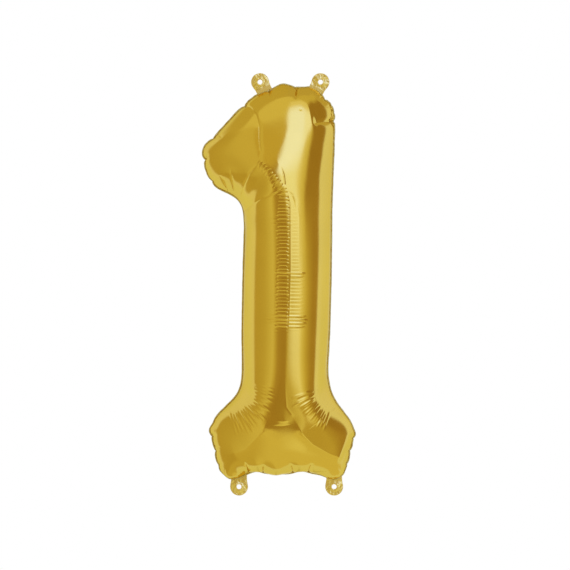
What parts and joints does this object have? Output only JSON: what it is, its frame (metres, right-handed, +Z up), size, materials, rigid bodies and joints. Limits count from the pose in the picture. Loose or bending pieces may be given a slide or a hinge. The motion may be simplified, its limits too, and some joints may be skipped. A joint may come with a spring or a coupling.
{
  "type": "foil number balloon",
  "caption": "Inflated foil balloon in the shape of a numeral one, with a heat-sealed edge, holed hanging tabs that fold, and a flat self-sealing valve.",
  "frame": {"origin": "under the middle of the overall box, level with the ends of the two bottom tabs", "axes": "+X to the viewer's right, +Z up along the numeral's stem, the front faces -Y; the edge seal lies in the plane y = 0"},
  "size_m": [0.1396, 0.0836, 0.3802],
  "materials": {
    "gold_foil": "mirror-bright gold metallised film, inflated",
    "sealed_foil": "gold metallised film, two layers welded flat, slightly crinkled",
    "valve_film": "thin clear polyethylene"
  },
  "bodies": {
    "root": {"front_foil": "gold_foil", "back_foil": "gold_foil", "edge_seal": "sealed_foil", "valve_front_film": "valve_film", "valve_back_film": "valve_film"},
    "tab_top_left": {"tab_top_left": "sealed_foil"},
    "tab_top_right": {"tab_top_right": "sealed_foil"},
    "tab_bottom_left": {"tab_bottom_left": "sealed_foil"},
    "tab_bottom_right": {"tab_bottom_right": "sealed_foil"}
  },
  "joints": [
    {"name": "tab_top_left_fold", "type": "hinge", "parent": "root", "child": "tab_top_left", "pos_m": [-0.01289, 0, 0.36645], "axis": [0.8988, 0, 0.4384], "range_deg": [-75, 75], "stiffness_Nm_per_rad": 0.00005},
    {"name": "tab_top_right_fold", "type": "hinge", "parent": "root", "child": "tab_top_right", "pos_m": [0.03593, 0, 0.36699], "axis": [0.8829, 0, -0.4695], "range_deg": [-75, 75], "stiffness_Nm_per_rad": 0.00005},
    {"name": "tab_bottom_left_fold", "type": "hinge", "parent": "root", "child": "tab_bottom_left", "pos_m": [-0.0346, 0, 0.0149], "axis": [1, 0, 0], "range_deg": [-75, 75], "stiffness_Nm_per_rad": 0.00005},
    {"name": "tab_bottom_right_fold", "type": "hinge", "parent": "root", "child": "tab_bottom_right", "pos_m": [0.051, 0, 0.0149], "axis": [1, 0, 0], "range_deg": [-75, 75], "stiffness_Nm_per_rad": 0.00005}
  ]
}
